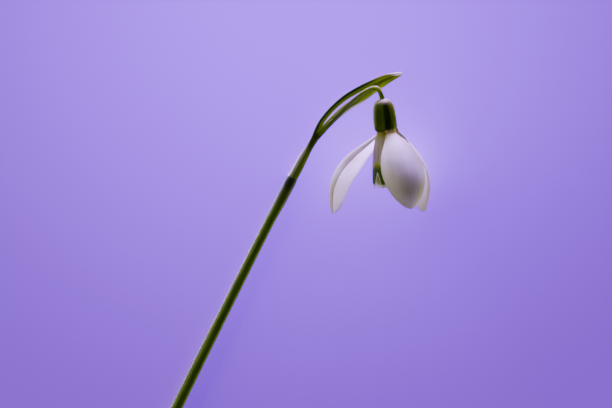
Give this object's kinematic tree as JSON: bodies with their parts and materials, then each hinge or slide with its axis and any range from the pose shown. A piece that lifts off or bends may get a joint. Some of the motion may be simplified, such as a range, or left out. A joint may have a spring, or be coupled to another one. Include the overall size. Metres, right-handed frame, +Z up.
{
  "type": "snowdrop flower",
  "caption": "Cut snowdrop lying flat: leafless green stalk, arching spathe and one nodding white flower with green-marked inner petals.",
  "frame": {"origin": "on the surface the flower lies on, in the middle of its outline", "axes": "+Z up from the surface, +Y along the longer side of the outline from the cut foot of the stalk towards its top, +X to the side where the flower hangs"},
  "size_m": [0.0736, 0.1144, 0.0179],
  "materials": {
    "scape_green": "satin",
    "spathe_green": "satin",
    "pedicel_green": "satin",
    "ovary_green": "satin",
    "outer_tepal_white": "matte",
    "inner_tepal_marked": "matte",
    "anther_orange": "matte",
    "style_cream": "matte"
  },
  "bodies": {
    "root": {"scape": "scape_green", "spathe": "spathe_green", "pedicel": "pedicel_green", "ovary": "ovary_green", "outer_tepal_left": "outer_tepal_white", "outer_tepal_front": "outer_tepal_white", "outer_tepal_back": "outer_tepal_white", "inner_tepal_left": "inner_tepal_marked", "inner_tepal_right": "inner_tepal_marked", "inner_tepal_back": "inner_tepal_marked", "stamen_1": "anther_orange", "stamen_2": "anther_orange", "stamen_3": "anther_orange", "stamen_4": "anther_orange", "stamen_5": "anther_orange", "stamen_6": "anther_orange", "style": "style_cream"}
  },
  "joints": []
}
